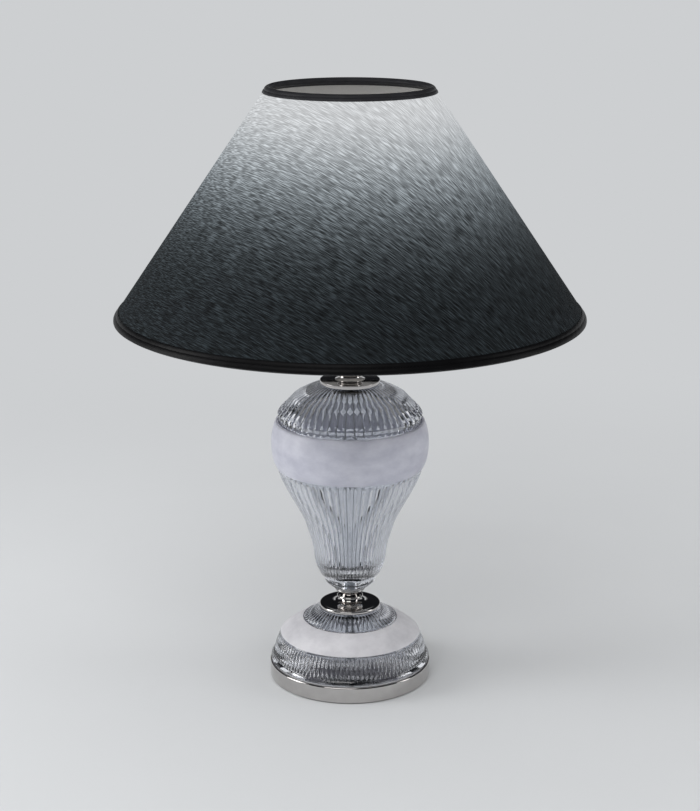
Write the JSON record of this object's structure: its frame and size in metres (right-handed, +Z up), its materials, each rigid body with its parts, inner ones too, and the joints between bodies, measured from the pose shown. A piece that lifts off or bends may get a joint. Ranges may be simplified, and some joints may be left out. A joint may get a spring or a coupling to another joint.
{
  "type": "table lamp",
  "caption": "Table lamp with a cut crystal vase body on a crystal foot, chrome fittings and a wide conical dark fabric shade.",
  "frame": {"origin": "centre of the felt pad's lower face, on the surface that the lamp stands on", "axes": "+Z up along the lamp's axis, -Y towards the viewer, the cord outlet at the back on +Y"},
  "size_m": [0.4553, 0.4552, 0.5923],
  "materials": {
    "felt": "short black felt",
    "chrome": "polished",
    "iron": "as cast, painted grey",
    "zinc": "zinc plated",
    "rubber": "matt black",
    "gasket": "clear soft plastic",
    "crystal": "clear cut crystal with satin frosted bands",
    "porcelain": "white glaze",
    "contact_brass": "bright",
    "bulb_cap_metal": "bright rolled",
    "black_glass": "black insulating glass",
    "opal_glass": "opal white",
    "clear_glass": "clear",
    "filament_metal": "drawn wire",
    "frame_paint": "white powder coat",
    "lining": "white, matt",
    "shade_fabric": "dark charcoal slubbed silk",
    "trim": "black satin tape"
  },
  "bodies": {
    "stand": {"felt_pad": "felt", "base_pan": "chrome", "base_weight": "iron", "base_washer": "zinc", "base_nut": "zinc", "cord_grommet": "rubber", "foot_gasket": "gasket", "crystal_foot": "crystal", "neck_gasket": "gasket", "neck_flange": "chrome", "neck_bead": "chrome", "vase_cup": "chrome", "vase_gasket": "gasket", "crystal_vase": "crystal", "cap_gasket": "gasket", "vase_cap": "chrome", "cap_collar": "chrome", "stem_tube": "chrome", "threaded_rod": "zinc", "lampholder_cap": "chrome", "lampholder_shell": "chrome", "lampholder_insert": "porcelain", "screw_shell": "contact_brass", "centre_contact": "contact_brass"},
    "clamp": {"shade_ring": "chrome"},
    "bulb": {"bulb_cap": "bulb_cap_metal", "bulb_insulator": "black_glass", "bulb_contact": "contact_brass", "bulb_glass": "opal_glass", "bulb_stem": "clear_glass", "bulb_filament": "filament_metal"},
    "shade": {"fitter_ring": "frame_paint", "spider_spokes": "frame_paint", "bottom_frame_ring": "frame_paint", "top_frame_ring": "frame_paint", "shade_lining": "lining", "shade_fabric": "shade_fabric", "bottom_trim": "trim", "top_trim": "trim"}
  },
  "joints": [
    {"name": "shade_swivel", "type": "hinge", "parent": "stand", "child": "shade", "pos_m": [0, 0, 0.4084], "axis": [0, 0, 1], "continuous": true},
    {"name": "shade_ring_turn", "type": "hinge", "parent": "stand", "child": "clamp", "pos_m": [0, 0, 0.4136], "axis": [0, 0, 1], "continuous": true},
    {"name": "bulb_unscrew", "type": "slide", "parent": "stand", "child": "bulb", "axis": [0, 0, 1], "range_m": [0, 0.026]}
  ]
}
